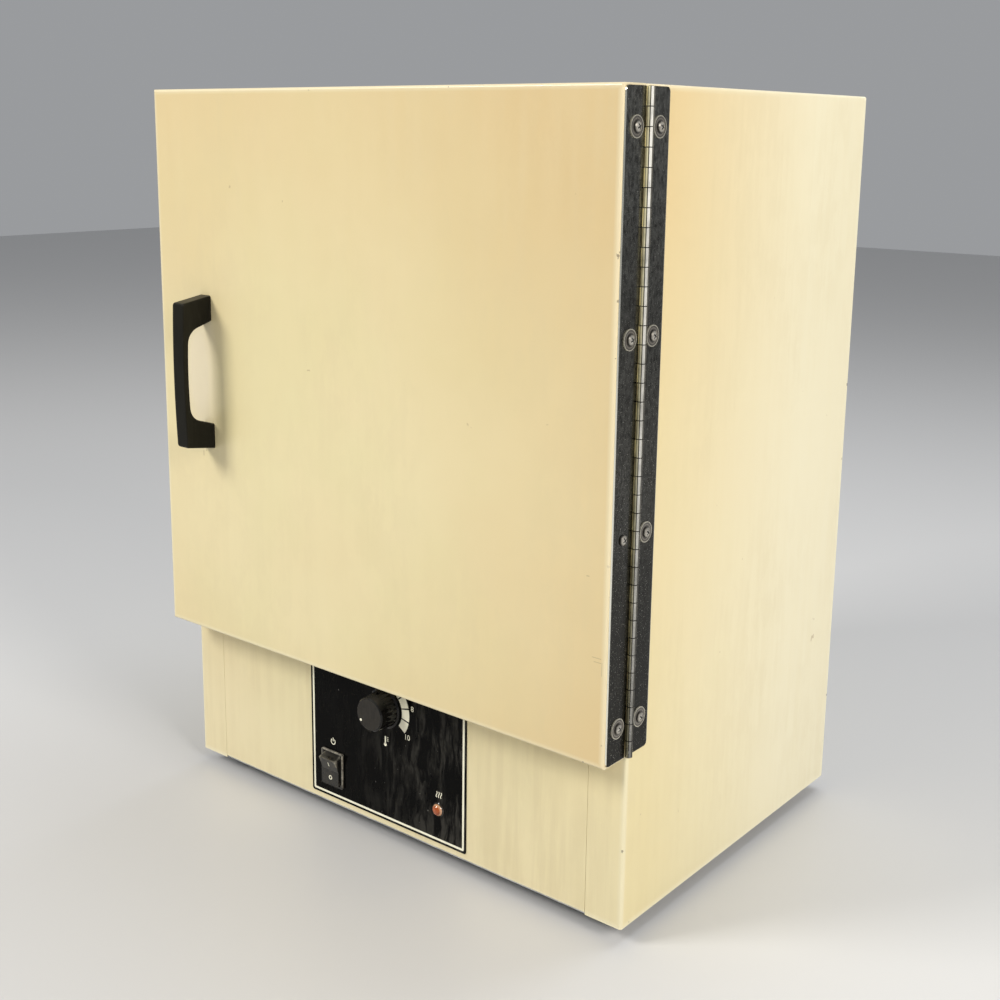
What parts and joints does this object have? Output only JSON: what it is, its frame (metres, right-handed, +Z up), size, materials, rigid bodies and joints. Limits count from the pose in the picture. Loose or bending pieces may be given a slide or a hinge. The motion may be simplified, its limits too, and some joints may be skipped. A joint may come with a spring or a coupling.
{
  "type": "laboratory oven",
  "caption": "Bench-top laboratory heating oven with a side-hinged insulated door, bow handle, temperature dial, power rocker, pilot lamp, wire shelves and top vent.",
  "frame": {"origin": "on the bench under the middle of the whole object: mid-width of the cabinet, half-way between the handle's face and the cord bushing", "axes": "+Z up, +Y towards the rear panel, +X to the right as seen from the door"},
  "size_m": [0.4725, 0.389, 0.6145],
  "materials": {
    "cream_enamel": "satin",
    "zinc_sheet": "satin",
    "gloss_black_face": "gloss",
    "chamber_steel": "satin",
    "bright_wire": "polished",
    "glass_wool": "matte",
    "element_sheath": "matte",
    "ceramic_white": "satin",
    "bright_screw": "polished",
    "copper_tube": "satin",
    "gloss_black_plastic": "gloss",
    "satin_aluminium": "satin",
    "amber_lens": "gloss",
    "black_plastic": "matte",
    "black_rubber": "matte",
    "silicone_seal": "matte",
    "catch_iron": "matte",
    "hinge_bright": "polished"
  },
  "bodies": {
    "cabinet": {"outer_wrap": "cream_enamel", "control_panel": "cream_enamel", "rear_panel": "cream_enamel", "front_frame": "cream_enamel", "base_plate": "zinc_sheet", "sub_floor": "zinc_sheet", "panel_label": "gloss_black_face", "chamber_liner": "chamber_steel", "chamber_back": "chamber_steel", "floor_baffle": "chamber_steel", "shelf_uprights": "chamber_steel", "shelf_clips": "bright_wire", "insulation_left": "glass_wool", "insulation_right": "glass_wool", "insulation_top": "glass_wool", "insulation_floor": "glass_wool", "insulation_back": "glass_wool", "heating_element": "element_sheath", "element_terminals": "ceramic_white", "element_bridges": "zinc_sheet", "vent_duct": "zinc_sheet", "vent_plate": "zinc_sheet", "vent_pivot": "bright_screw", "thermostat_housing": "zinc_sheet", "capillary_tube": "copper_tube", "sensing_bulb": "copper_tube", "bulb_clips": "bright_wire", "switch_housing": "gloss_black_plastic", "lamp_lens": "amber_lens", "lamp_holder": "gloss_black_plastic", "terminal_block": "ceramic_white", "cord_bushing": "black_plastic", "feet": "black_rubber", "foot_screws": "bright_screw", "rear_screws": "bright_screw", "catch_magnet": "catch_iron", "hinge_frame_leaf": "hinge_bright", "hinge_pin": "hinge_bright", "hinge_washers_frame": "bright_screw", "hinge_screws_frame": "bright_screw"},
    "door": {"door_pan": "cream_enamel", "door_inner_panel": "chamber_steel", "door_insulation": "glass_wool", "door_gasket": "silicone_seal", "door_screws": "bright_screw", "hinge_door_leaf": "hinge_bright", "hinge_washers_door": "bright_screw", "hinge_screws_door": "bright_screw", "catch_striker": "bright_screw", "door_handle": "black_plastic", "handle_screws": "bright_screw"},
    "temperature_dial": {"temperature_knob": "gloss_black_plastic", "knob_cap": "satin_aluminium", "knob_grub_screw": "bright_screw", "thermostat_shaft": "bright_screw"},
    "power_switch": {"power_rocker": "gloss_black_plastic"},
    "vent_shutter": {"vent_damper": "zinc_sheet"},
    "upper_rack": {"upper_shelf": "bright_wire"},
    "lower_rack": {"lower_shelf": "bright_wire"}
  },
  "joints": [
    {"name": "door_hinge", "type": "hinge", "parent": "cabinet", "child": "door", "pos_m": [0.23625, -0.1375, 0.3787], "axis": [0, 0, 1], "range_deg": [0, 160]},
    {"name": "temperature_turn", "type": "hinge", "parent": "cabinet", "child": "temperature_dial", "pos_m": [0, -0.1455, 0.1187], "axis": [0, 1, 0], "range_deg": [0, 256]},
    {"name": "power_rock", "type": "hinge", "parent": "cabinet", "child": "power_switch", "pos_m": [-0.061, -0.1345, 0.0467], "axis": [-1, 0, 0], "range_deg": [0, 20]},
    {"name": "damper_turn", "type": "hinge", "parent": "cabinet", "child": "vent_shutter", "pos_m": [0, 0.0895, 0.6107], "axis": [0, 0, 1], "range_deg": [0, 90]},
    {"name": "upper_shelf_slide", "type": "slide", "parent": "cabinet", "child": "upper_rack", "axis": [0, -1, 0], "range_m": [0, 0.015]},
    {"name": "lower_shelf_slide", "type": "slide", "parent": "cabinet", "child": "lower_rack", "axis": [0, -1, 0], "range_m": [0, 0.015]}
  ]
}
